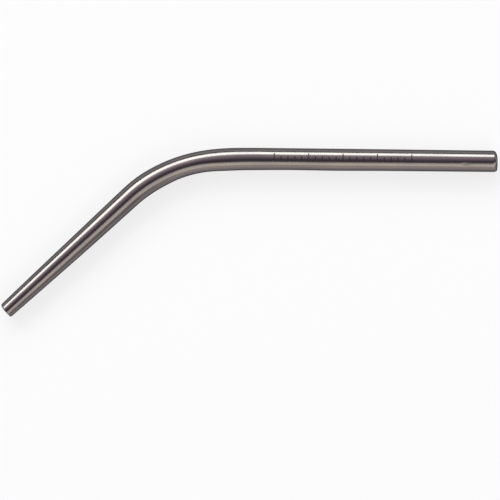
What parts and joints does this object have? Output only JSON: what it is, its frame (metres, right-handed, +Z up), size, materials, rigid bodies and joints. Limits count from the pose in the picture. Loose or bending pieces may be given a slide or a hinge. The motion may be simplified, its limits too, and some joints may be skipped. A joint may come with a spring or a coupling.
{
  "type": "surgical aspirator tip",
  "caption": "Steel suction tube for surgery: a straight shank, a smooth bend and a tapered arm with a rounded open mouth.",
  "frame": {"origin": "on the surface that the tube lies on, under the middle of its bounding box", "axes": "+X along the straight shank towards its rear lip, +Y level and square to the shank, away from the side that the arm bends to, +Z up"},
  "size_m": [0.1442, 0.05, 0.0063],
  "materials": {
    "steel": "satin stainless steel, finely polished along its length"
  },
  "bodies": {
    "root": {"suction_tube": "steel"}
  },
  "joints": []
}
